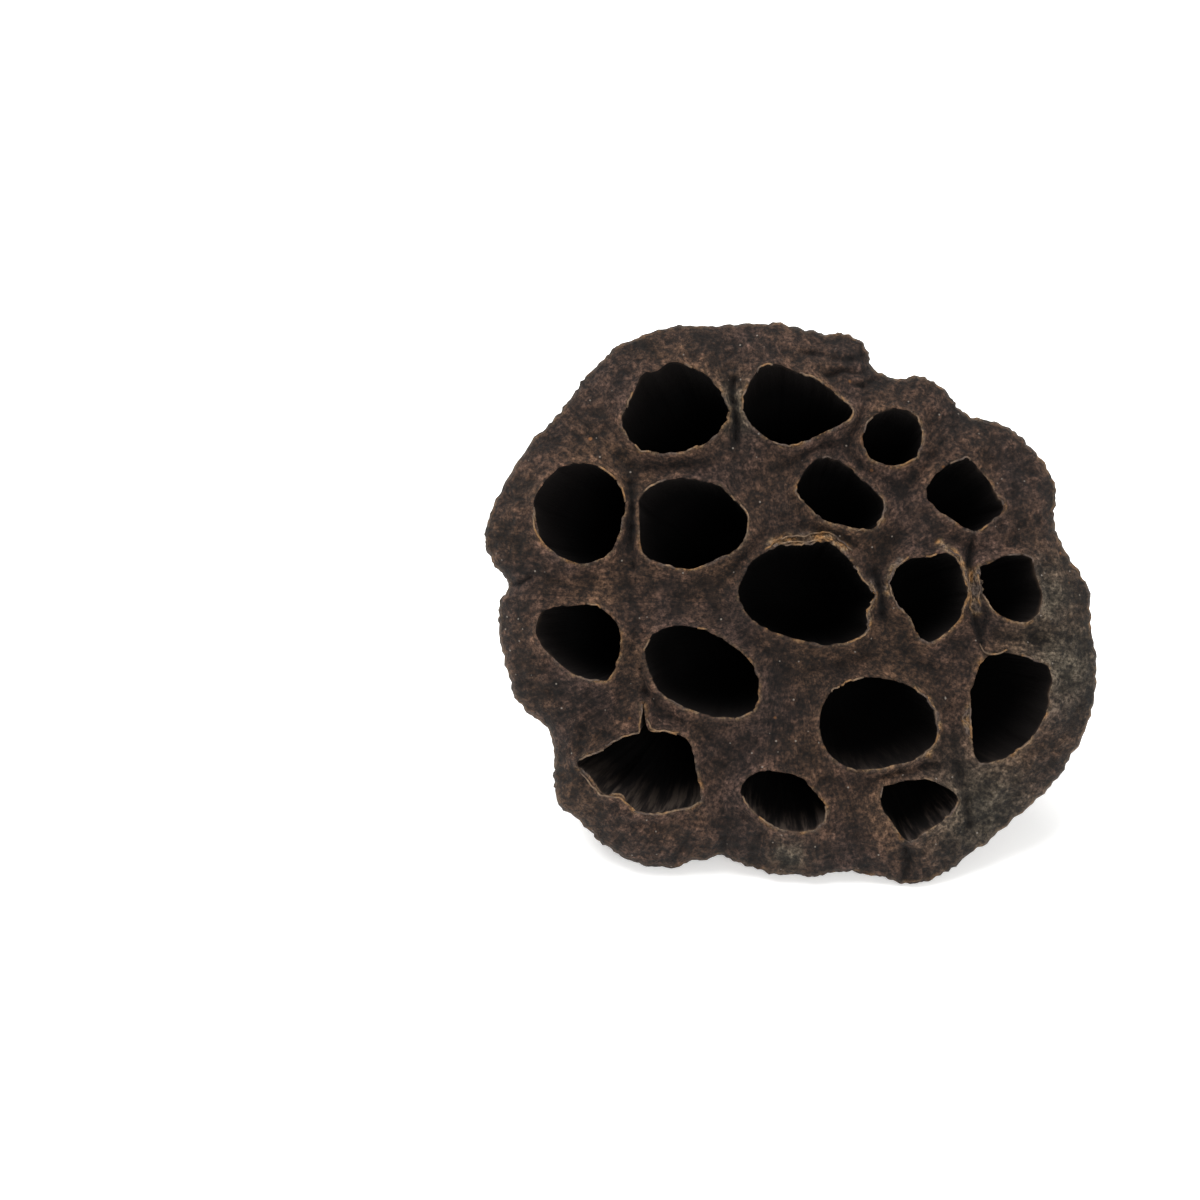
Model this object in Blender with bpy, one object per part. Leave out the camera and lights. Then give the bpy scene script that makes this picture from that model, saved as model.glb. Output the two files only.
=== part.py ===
"""Dried lotus pod: the woody seed head of a lotus, cut off at its stem, with its sockets empty.

It grew as one piece, so it is one solid: a seed face with seventeen open sockets, a folded flank
that narrows to the stem, and the cut stem's scar. It is shaped in its own frame first, in millimetres,
with the seed face in the XY plane, +Z out of the face and the stem scar below it on the Z axis.
It is then leaned back on its flank, as a loose pod lies, so that it rests on two lobes of its rim
and the edge of its stem scar, with the origin on the ground under the middle of its box.
"""

import math

import bmesh
import bpy
import numpy as np
from mathutils import Matrix, Vector, noise
from mathutils.geometry import delaunay_2d_cdt

# Sizes of the whole pod, in millimetres.
POD_DEPTH = 48.2
SOCKET_APEX = 62.0
STUB_RADIUS = 4.8
SHOULDER = 6.0
DOME = 1.6

# How it lies: the seed face's angle from level, and where the middle of the face ends up.
LEAN_DEGREES = 50.0
FACE_CENTRE = (0.1, -7.16, 34.3)

# The rim of the seed face, seen square on, anticlockwise from its right side.
RIM = (
    (45.1, -2.1), (44.6, 2.9), (41.3, 8.0), (39.6, 12.4), (39.9, 16.8), (38.3, 20.7), (33.9, 26.0),
    (31.2, 27.2), (27.5, 28.1), (25.3, 29.5), (24.5, 30.6), (21.8, 33.0), (19.2, 34.1), (15.8, 34.1),
    (13.6, 34.7), (11.8, 36.3), (11.7, 38.0), (10.5, 39.8), (7.8, 40.8), (4.6, 40.9), (-2.3, 42.3),
    (-8.7, 42.1), (-14.9, 42.0), (-18.9, 41.6), (-25.5, 39.2), (-28.4, 37.1), (-32.3, 32.5),
    (-34.9, 28.9), (-38.7, 25.1), (-43.9, 16.9), (-46.3, 10.7), (-45.9, 7.7), (-44.4, 5.2),
    (-42.8, 2.8), (-44.0, 0.3), (-44.2, -3.0), (-42.9, -10.6), (-41.0, -15.3), (-37.0, -18.8),
    (-36.1, -21.8), (-35.8, -27.0), (-35.0, -30.3), (-30.4, -34.3), (-27.6, -37.1), (-23.5, -39.2),
    (-19.1, -40.0), (-14.6, -39.0), (-10.8, -38.0), (-8.4, -39.0), (-4.4, -40.2), (-0.6, -40.9),
    (3.4, -41.0), (7.8, -40.2), (12.4, -40.9), (16.8, -42.1), (20.5, -41.6), (26.9, -37.9),
    (33.6, -32.4), (39.6, -26.9), (44.3, -19.2), (46.1, -10.1),
)

# How far the rim curls down below the seed face, by the angle round the pod in degrees.
RIM_DROP = (
    (0, 3.6), (45, 3.2), (90, 3.8), (135, 3.0), (180, 4.2), (215, 4.6), (244, 5.6), (270, 3.0),
    (292, 2.7), (325, 3.8),
)

# The mouth of each socket on the seed face, anticlockwise.
MOUTHS = {
    "top_left": (
        (-18.2, 36.2), (-20.3, 34.8), (-22.5, 34.2), (-24.5, 30.3), (-25.6, 27.5), (-23.7, 23.7),
        (-19.5, 22.6), (-15.2, 23.3), (-11.4, 25.6), (-10.2, 29.0), (-11.7, 32.5), (-14.4, 34.9),
    ),
    "top_middle": (
        (-3.8, 35.7), (-6.3, 33.6), (-7.5, 30.4), (-6.9, 27.6), (-4.1, 24.8), (-0.9, 23.8),
        (3.0, 25.2), (7.1, 26.9), (8.6, 28.6), (6.4, 31.1), (3.8, 33.0), (0.1, 34.7),
    ),
    "top_right": (
        (13.8, 28.9), (11.2, 27.4), (10.3, 24.3), (11.6, 21.8), (14.8, 20.6), (17.9, 21.7),
        (19.0, 25.0), (18.5, 27.7), (16.3, 28.9),
    ),
    "upper_middle": (
        (5.4, 21.7), (3.1, 21.2), (1.4, 19.4), (0.4, 17.0), (2.7, 14.0), (5.6, 12.3), (10.5, 11.1),
        (12.3, 12.0), (13.3, 15.3), (10.1, 18.3), (7.8, 20.7),
    ),
    "upper_right": (
        (25.9, 21.7), (22.8, 20.7), (19.8, 17.2), (20.4, 15.2), (23.5, 12.6), (26.9, 11.0),
        (29.0, 12.1), (31.2, 14.4), (30.4, 15.8), (29.4, 18.0), (27.5, 20.3),
    ),
    "left": (
        (-32.6, 20.9), (-35.6, 19.9), (-38.6, 15.8), (-38.3, 11.5), (-36.2, 8.1), (-31.6, 6.0),
        (-27.4, 7.9), (-25.9, 12.0), (-25.3, 15.6), (-26.6, 18.6), (-29.6, 20.7),
    ),
    "inner_left": (
        (-15.5, 18.6), (-19.4, 18.4), (-22.6, 16.4), (-23.0, 13.5), (-22.5, 7.7), (-18.8, 5.8),
        (-15.0, 5.4), (-11.4, 6.8), (-7.8, 9.2), (-6.9, 12.9), (-9.3, 15.9), (-11.7, 17.8),
    ),
    "middle": (
        (4.8, 9.2), (1.7, 8.7), (-2.0, 8.5), (-5.6, 6.8), (-7.5, 4.2), (-8.2, 1.0), (-6.2, -2.2),
        (-2.6, -4.3), (2.0, -5.6), (6.8, -5.8), (10.6, -3.9), (10.8, -0.8), (11.8, 1.2), (10.4, 3.1),
        (7.1, 7.7),
    ),
    "inner_right": (
        (23.0, 7.6), (20.0, 7.0), (16.6, 6.4), (14.6, 3.6), (15.1, 0.6), (17.3, -1.9), (18.4, -4.4),
        (20.5, -5.5), (24.0, -3.0), (25.6, 1.2), (24.6, 5.4),
    ),
    "right": (
        (32.6, 7.3), (30.2, 6.6), (28.2, 5.2), (28.5, 2.3), (30.0, -1.0), (33.0, -2.6), (35.6, -2.2),
        (37.1, 0.6), (36.2, 4.4), (35.3, 7.0),
    ),
    "lower_left": (
        (-29.8, -0.2), (-33.6, -0.3), (-37.0, -0.9), (-38.6, -3.6), (-38.0, -5.6), (-34.7, -9.2),
        (-31.8, -10.8), (-28.0, -11.1), (-26.6, -9.0), (-26.0, -4.6), (-27.4, -1.8),
    ),
    "inner_lower": (
        (-17.8, -3.3), (-21.2, -4.7), (-22.2, -7.4), (-21.3, -10.6), (-19.4, -13.7), (-15.5, -15.7),
        (-10.2, -16.9), (-6.6, -16.1), (-5.4, -13.0), (-6.2, -9.4), (-10.4, -5.4), (-14.2, -3.8),
    ),
    "lower_middle": (
        (12.8, -11.1), (8.8, -11.4), (5.6, -13.1), (3.9, -16.2), (4.2, -20.4), (6.1, -23.2),
        (9.4, -24.7), (13.4, -24.3), (18.4, -23.0), (21.2, -20.2), (21.0, -16.8), (18.2, -12.8),
    ),
    "lower_right": (
        (31.9, -7.4), (28.6, -8.0), (26.8, -12.0), (26.3, -16.6), (26.8, -20.4), (27.3, -23.1),
        (29.2, -23.7), (34.0, -21.4), (36.8, -18.2), (38.2, -13.4), (38.2, -10.0), (36.0, -8.4),
    ),
    "bottom_left": (
        (-22.5, -15.2), (-22.8, -19.3), (-25.5, -19.9), (-28.0, -21.5), (-31.8, -23.5),
        (-30.1, -26.1), (-28.4, -28.2), (-25.8, -28.5), (-23.4, -30.8), (-19.7, -31.1),
        (-14.4, -29.5), (-14.6, -25.0), (-15.7, -20.6), (-18.2, -19.2), (-21.6, -19.0),
    ),
    "bottom_middle": (
        (-2.2, -25.0), (-5.8, -25.2), (-7.9, -27.6), (-6.6, -30.3), (-3.6, -32.9), (0.1, -33.9),
        (3.4, -33.2), (4.8, -30.4), (3.1, -28.2), (0.8, -26.0),
    ),
    "bottom_right": (
        (19.8, -26.2), (16.4, -26.6), (13.6, -27.3), (12.9, -29.4), (14.4, -32.2), (16.9, -35.4),
        (19.0, -34.5), (22.0, -32.4), (24.5, -29.9), (24.2, -28.4), (22.2, -27.1),
    ),
}

# The lips round the mouths: a narrow ridge on a broad swelling.
RIDGE_HEIGHT, RIDGE_REACH = 0.8, 1.0
SWELL_HEIGHT, SWELL_REACH = 1.0, 3.6

# Each socket narrows with its depth: (share of its depth, share of the mouth's size).
SOCKET_TAPER = (
    (0.0, 1.0), (0.05, 1.05), (0.2, 1.08), (0.45, 1.04), (0.68, 0.93), (0.85, 0.72), (0.95, 0.46), (1.0, 0.3),
)
SOCKET_DEPTH_BASE = 5.0
SOCKET_ROUNDING = 0.7

# The flank from the rim to the stub: (share of the depth, share of the rim's reach past the stub).
FLANK_TAPER = (
    (0.0, 1.0), (0.06, 0.965), (0.15, 0.875), (0.3, 0.7), (0.5, 0.475), (0.7, 0.27), (0.84, 0.13),
    (0.93, 0.035), (1.0, 0.0),
)

# The folds that run down the flank between the outer sockets: (angle, depth, half width in degrees).
FOLDS = (
    (18, 3.4, 5.0), (46, 3.6, 5.5), (75, 3.2, 4.5), (105, 3.6, 5.5), (139, 3.4, 5.5), (173, 3.8, 5.0),
    (209, 3.6, 5.0), (249, 2.8, 4.5), (281, 2.6, 4.5), (318, 3.8, 6.0), (348, 3.2, 5.0), (32, 1.3, 3.5),
    (60, 1.2, 3.5), (90, 1.4, 4.0), (122, 1.5, 4.0), (157, 1.3, 4.0), (191, 1.4, 3.5), (229, 1.5, 4.0),
    (301, 1.2, 4.0), (333, 1.4, 4.0), (4, 1.2, 3.5),
)

# How finely the solid is faceted.
RIM_STEPS = 2
MOUTH_STEPS = 2
FACE_SPACING = 3.0
SHOULDER_INSETS = (0.7, 2.2)
LIP_INSET = 1.2
SOCKET_LEVELS = (0.05, 0.2, 0.45, 0.68, 0.85, 0.95)
FLANK_LEVELS = (0.05, 0.12, 0.22, 0.34, 0.46, 0.58, 0.7, 0.81, 0.9, 0.96, 1.0)

HUSK_COLOUR = (0.062, 0.045, 0.038, 1.0)


def closed_curve(points, steps):
    """A smooth closed curve through the points, with this many steps between each pair."""
    here = np.array(points, float)
    after = np.roll(here, -1, axis=0)
    span = np.linalg.norm(after - here, axis=1)[:, None]
    slope = (after - np.roll(here, 1, axis=0)) / (span + np.roll(span, 1, axis=0))
    t = (np.arange(steps) / steps)[None, :, None]
    start, end = here[:, None, :], after[:, None, :]
    leave, arrive = (slope * span)[:, None, :], (np.roll(slope, -1, axis=0) * span)[:, None, :]
    curve = (
        (2 * t**3 - 3 * t**2 + 1) * start
        + (t**3 - 2 * t**2 + t) * leave
        + (3 * t**2 - 2 * t**3) * end
        + (t**3 - t**2) * arrive
    )
    return curve.reshape(-1, 2)


def distance_to(points, curve):
    """How far each point is from a closed curve."""
    start, end = curve, np.roll(curve, -1, axis=0)
    along = end - start
    nearest = np.full(len(points), np.inf)
    for a, d in zip(start, along):
        share = np.clip(((points - a) @ d) / (d @ d), 0.0, 1.0)
        gap = points - a - share[:, None] * d
        nearest = np.minimum(nearest, np.einsum("ij,ij->i", gap, gap))
    return np.sqrt(nearest)


def inside(points, curve):
    """Whether each point lies inside a closed curve."""
    x, y = points[:, 0], points[:, 1]
    crossings = np.zeros(len(points), int)
    for a, b in zip(curve, np.roll(curve, -1, axis=0)):
        if a[1] == b[1]:
            continue
        level = (a[1] > y) != (b[1] > y)
        crossings += level & (x < a[0] + (y - a[1]) * (b[0] - a[0]) / (b[1] - a[1]))
    return crossings % 2 == 1


def by_angle(table, degrees):
    """A value read from (angle, value) pairs, all the way round."""
    return float(np.interp(degrees % 360, [a for a, _ in table], [v for _, v in table], period=360))


def by_share(table, share):
    return float(np.interp(share, [s for s, _ in table], [v for _, v in table]))


def outlines(rim_steps, mouth_steps):
    mouths = {name: closed_curve(points, mouth_steps) for name, points in MOUTHS.items()}
    return closed_curve(RIM, rim_steps), mouths


def rim_drop(x, y):
    """How far the rim lies below the middle of the face, with a slow natural wave."""
    wave = 0.5 * noise.noise(Vector((0.09 * x, 0.09 * y, 3.7)))
    return by_angle(RIM_DROP, math.degrees(math.atan2(y, x))) + wave


def face_heights(points, rim, mouths):
    """The height of the seed face at each point: domed, rolled down at its rim, raised round the mouths."""
    heights = DOME * (1.0 - (np.linalg.norm(points, axis=1) / 46.0) ** 2)
    nearest = np.full(len(points), np.inf)
    for mouth in mouths.values():
        nearest = np.minimum(nearest, distance_to(points, mouth))
    heights += RIDGE_HEIGHT * np.exp(-((nearest / RIDGE_REACH) ** 2))
    heights += SWELL_HEIGHT * np.exp(-((nearest / SWELL_REACH) ** 2))
    heights += [0.9 * noise.noise(Vector((0.13 * x, 0.13 * y, 8.1))) for x, y in points]
    drop = np.array([rim_drop(x, y) for x, y in points])
    inward = np.clip(distance_to(points, rim) / SHOULDER, 0.0, 1.0)
    rise = np.sqrt(1.0 - (1.0 - inward) ** 2)
    return heights * rise - drop * (1.0 - rise)


def inset(curve, distance):
    """The curve moved to its left, which is into the face from the rim and out of a mouth when negative."""
    tangent = np.roll(curve, -1, axis=0) - np.roll(curve, 1, axis=0)
    tangent /= np.linalg.norm(tangent, axis=1)[:, None]
    return curve + distance * np.column_stack((-tangent[:, 1], tangent[:, 0]))


def face_points(rim, mouths, fine_rim, fine_mouths):
    """Points over the seed face: rows along the rim and round the mouths, and a loose lattice between."""
    rows = [(inset(rim, away), 0.75 * away, 0.8 * LIP_INSET, 0.6 * away) for away in SHOULDER_INSETS]
    for mouth in mouths.values():
        rows.append((inset(mouth, -LIP_INSET), 1.5, 0.8 * LIP_INSET, 0.6 * LIP_INSET))
    count = int(46.0 / FACE_SPACING) + 1
    lattice = [
        ((i + 0.5 * (j % 2)) * FACE_SPACING, j * FACE_SPACING * math.sqrt(0.75))
        for j in range(-count, count + 1)
        for i in range(-count, count + 1)
    ]
    rows.append((np.array(lattice), SHOULDER_INSETS[-1] + 1.0, LIP_INSET + 0.8, 0.4 * FACE_SPACING))
    kept = np.empty((0, 2))
    for row, rim_gap, mouth_gap, gap in rows:
        row = row[inside(row, fine_rim)]
        row = row[distance_to(row, fine_rim) > rim_gap]
        for mouth in fine_mouths.values():
            row = row[~inside(row, mouth)]
            row = row[distance_to(row, mouth) > mouth_gap]
        for point in row:
            if not len(kept) or np.min(np.linalg.norm(kept - point, axis=1)) > gap:
                kept = np.vstack((kept, point))
    return kept


def build_face(bm, start):
    """The seed face as one sheet of triangles. Returns the edges of its rim and of each mouth."""
    rim, mouths = outlines(RIM_STEPS, MOUTH_STEPS)
    fine_rim, fine_mouths = outlines(8, 8)
    loops = [rim, *mouths.values()]
    points = np.vstack((*loops, face_points(rim, mouths, fine_rim, fine_mouths)))
    ends = np.cumsum([len(loop) for loop in loops])
    edges = []
    for loop, end in zip(loops, ends):
        first = end - len(loop)
        edges += [(first + k, first + (k + 1) % len(loop)) for k in range(len(loop))]
    flat, _, faces, sources, _, _ = delaunay_2d_cdt([Vector(p) for p in points], edges, [], 1, 1e-5)
    middles = np.array([(flat[a] + flat[b] + flat[c]) / 3 for a, b, c in faces])
    open_here = np.zeros(len(faces), bool)
    for mouth in mouths.values():
        open_here |= inside(middles, mouth)
    heights = face_heights(np.array(flat), fine_rim, fine_mouths)
    verts = [bm.verts.new((x, y, z)) for (x, y), z in zip(flat, heights)]
    for vert in verts:
        vert[start] = vert.co
    for corners, is_open in zip(faces, open_here):
        if not is_open:
            bm.faces.new([verts[c] for c in corners])
    made = {source: vert for vert, found in zip(verts, sources) for source in found}
    rings = []
    for loop, end in zip(loops, ends):
        corners = [made[k] for k in range(end - len(loop), end)]
        rings.append([bm.edges.get(pair) for pair in zip(corners, corners[1:] + corners[:1])])
    return rings[0], dict(zip(mouths, rings[1:])), mouths


def extrude_ring(bm, edges, place, start):
    """Extrudes a ring of edges once and puts each new vertex where place says, from where its row started."""
    made = bmesh.ops.extrude_edge_only(bm, edges=edges)["geom"]
    verts = {v for v in made if isinstance(v, bmesh.types.BMVert)}
    for vert in verts:
        vert.co = place(vert[start])
    return [e for e in made if isinstance(e, bmesh.types.BMEdge) and set(e.verts) <= verts]


def close_ring(bm, edges, centre):
    """Fills a ring of edges with a fan about a centre point."""
    made = bmesh.ops.edgeloop_fill(bm, edges=edges)["faces"]
    bmesh.ops.poke(bm, faces=made)["verts"][0].co = centre


def build_socket(bm, edges, mouth, start):
    """One empty socket: it leans towards the pod's axis, swells under its lip and narrows to a round end."""
    centre = Vector(mouth.mean(axis=0))
    mean_radius = float(np.linalg.norm(mouth - mouth.mean(axis=0), axis=1).mean())
    depth = SOCKET_DEPTH_BASE + 1.9 * mean_radius

    def place(level):
        lean = 1.0 - level * depth / SOCKET_APEX
        rounding = SOCKET_ROUNDING * level

        def at(corner):
            offset = corner.xy - centre
            radius = offset.length * (1.0 - rounding) + mean_radius * rounding
            middle = centre + offset.normalized() * radius * by_share(SOCKET_TAPER, level)
            return Vector((*(middle * lean), corner.z * (1.0 - level) - level * depth))

        return at

    for level in SOCKET_LEVELS:
        edges = extrude_ring(bm, edges, place(level), start)
    close_ring(bm, edges, Vector((*(centre * (1.0 - depth / SOCKET_APEX)), -depth)))


def fold_depth(degrees, share):
    """How deep the flank folds in, at this angle and share of the way to the stub."""
    strength = 1.3 * min(1.0, share / 0.22) ** 1.5 * (1.0 - share) ** 0.55
    deep = 0.0
    for angle, depth, width in FOLDS:
        away = (degrees - angle + 180.0) % 360.0 - 180.0
        deep += depth * math.exp(-((away / width) ** 2))
    return deep * strength


def flank_point(corner, share):
    """Where the flank is below a point of the rim, at this share of the way to the stub."""
    reach = corner.xy.length
    degrees = math.degrees(math.atan2(corner.y, corner.x))
    radius = STUB_RADIUS + (reach - STUB_RADIUS) * by_share(FLANK_TAPER, share)
    wander = noise.noise(Vector((corner.x, corner.y, 60.0 * share)) * 0.06)
    radius += 1.4 * wander * math.sin(math.pi * share) - fold_depth(degrees, share)
    flat = corner.xy.normalized() * radius
    return Vector((*flat, corner.z * (1.0 - share) - POD_DEPTH * share))


def build_flank(bm, edges, start):
    """The folded flank from the rim down to the stub, and the scar that closes it."""
    for share in FLANK_LEVELS:
        edges = extrude_ring(bm, edges, lambda corner, s=share: flank_point(corner, s), start)

    def scar(corner):
        return Vector((*(corner.xy.normalized() * 0.72 * STUB_RADIUS), 0.5 - POD_DEPTH))

    edges = extrude_ring(bm, edges, scar, start)
    close_ring(bm, edges, Vector((0.0, 0.0, 0.9 - POD_DEPTH)))


def lie_down(bm):
    """Leans the pod back on its flank and trims the three places where it meets the ground flat."""
    turn = Matrix.Rotation(math.radians(LEAN_DEGREES), 4, "X")
    bmesh.ops.transform(bm, matrix=Matrix.Translation(FACE_CENTRE) @ turn, verts=bm.verts)
    whole = bm.verts[:] + bm.edges[:] + bm.faces[:]
    cut = bmesh.ops.bisect_plane(
        bm, geom=whole, plane_co=(0, 0, 0), plane_no=(0, 0, -1), clear_outer=True, dist=1e-4
    )["geom_cut"]
    bmesh.ops.holes_fill(bm, edges=[e for e in cut if isinstance(e, bmesh.types.BMEdge)], sides=0)


def husk_material():
    """Dried, dark, woody skin with no shine."""
    material = bpy.data.materials.new("dried husk")
    material.use_nodes = True
    shader = material.node_tree.nodes["Principled BSDF"]
    shader.inputs["Base Color"].default_value = HUSK_COLOUR
    shader.inputs["Roughness"].default_value = 0.92
    shader.inputs["Metallic"].default_value = 0.0
    return material


def main():
    for old in list(bpy.data.objects):
        bpy.data.objects.remove(old)
    bm = bmesh.new()
    start = bm.verts.layers.float_vector.new("start of its row")
    rim_edges, mouth_edges, mouths = build_face(bm, start)
    for name, edges in mouth_edges.items():
        build_socket(bm, edges, mouths[name], start)
    build_flank(bm, rim_edges, start)
    lie_down(bm)
    bmesh.ops.scale(bm, vec=(0.001, 0.001, 0.001), verts=bm.verts)
    bmesh.ops.recalc_face_normals(bm, faces=bm.faces)
    mesh = bpy.data.meshes.new("lotus_pod")
    bm.to_mesh(mesh)
    bm.free()
    mesh.shade_smooth()
    mesh.set_sharp_from_angle(angle=math.radians(50))
    mesh.materials.append(husk_material())
    bpy.context.scene.collection.objects.link(bpy.data.objects.new("lotus_pod", mesh))


main()
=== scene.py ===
"""A dried lotus pod lying on its flank, dressed for the camera.

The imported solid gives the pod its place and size. One finely divided piece stands for it here, shaped
from the same outlines: the wrinkled seed face, the torn lips of its sockets, the fibrous flank with its
folds, and the corky scar where the stem was cut. All sizes below are in millimetres in the pod's own
frame, with the seed face in the XY plane and the stem scar below it on the Z axis.
"""

import math

import bmesh
import bpy
import numpy as np
from mathutils import Matrix, Vector, noise
from mathutils.bvhtree import BVHTree
from mathutils.geometry import delaunay_2d_cdt


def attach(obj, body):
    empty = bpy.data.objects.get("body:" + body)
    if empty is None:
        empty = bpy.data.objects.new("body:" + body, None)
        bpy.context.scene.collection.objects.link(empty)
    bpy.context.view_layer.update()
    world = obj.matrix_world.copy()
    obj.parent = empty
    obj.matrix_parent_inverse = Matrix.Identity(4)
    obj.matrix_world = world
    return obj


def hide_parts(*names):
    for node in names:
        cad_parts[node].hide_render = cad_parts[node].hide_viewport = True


MILLIMETRE = 0.001

# The pod's sizes and the way it lies, as in its solid.
FACE_REACH = 46.0
MEAN_RADIUS = 42.0
POD_DEPTH = 48.2
SOCKET_APEX = 62.0
STUB_RADIUS = 4.8
SHOULDER = 6.0
DOME = 1.6
LEAN_DEGREES = 50.0
FACE_CENTRE = (0.1, -7.16, 34.3)

# The rim of the seed face, seen square on, anticlockwise from its right side.
RIM = (
    (45.1, -2.1), (44.6, 2.9), (41.3, 8.0), (39.6, 12.4), (39.9, 16.8), (38.3, 20.7), (33.9, 26.0),
    (31.2, 27.2), (27.5, 28.1), (25.3, 29.5), (24.5, 30.6), (21.8, 33.0), (19.2, 34.1), (15.8, 34.1),
    (13.6, 34.7), (11.8, 36.3), (11.7, 38.0), (10.5, 39.8), (7.8, 40.8), (4.6, 40.9), (-2.3, 42.3),
    (-8.7, 42.1), (-14.9, 42.0), (-18.9, 41.6), (-25.5, 39.2), (-28.4, 37.1), (-32.3, 32.5),
    (-34.9, 28.9), (-38.7, 25.1), (-43.9, 16.9), (-46.3, 10.7), (-45.9, 7.7), (-44.4, 5.2),
    (-42.8, 2.8), (-44.0, 0.3), (-44.2, -3.0), (-42.9, -10.6), (-41.0, -15.3), (-37.0, -18.8),
    (-36.1, -21.8), (-35.8, -27.0), (-35.0, -30.3), (-30.4, -34.3), (-27.6, -37.1), (-23.5, -39.2),
    (-19.1, -40.0), (-14.6, -39.0), (-10.8, -38.0), (-8.4, -39.0), (-4.4, -40.2), (-0.6, -40.9),
    (3.4, -41.0), (7.8, -40.2), (12.4, -40.9), (16.8, -42.1), (20.5, -41.6), (26.9, -37.9),
    (33.6, -32.4), (39.6, -26.9), (44.3, -19.2), (46.1, -10.1),
)

# How far the rim curls down below the seed face, by the angle round the pod in degrees.
RIM_DROP = (
    (0, 3.6), (45, 3.2), (90, 3.8), (135, 3.0), (180, 4.2), (215, 4.6), (244, 5.6), (270, 3.0),
    (292, 2.7), (325, 3.8),
)

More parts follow.
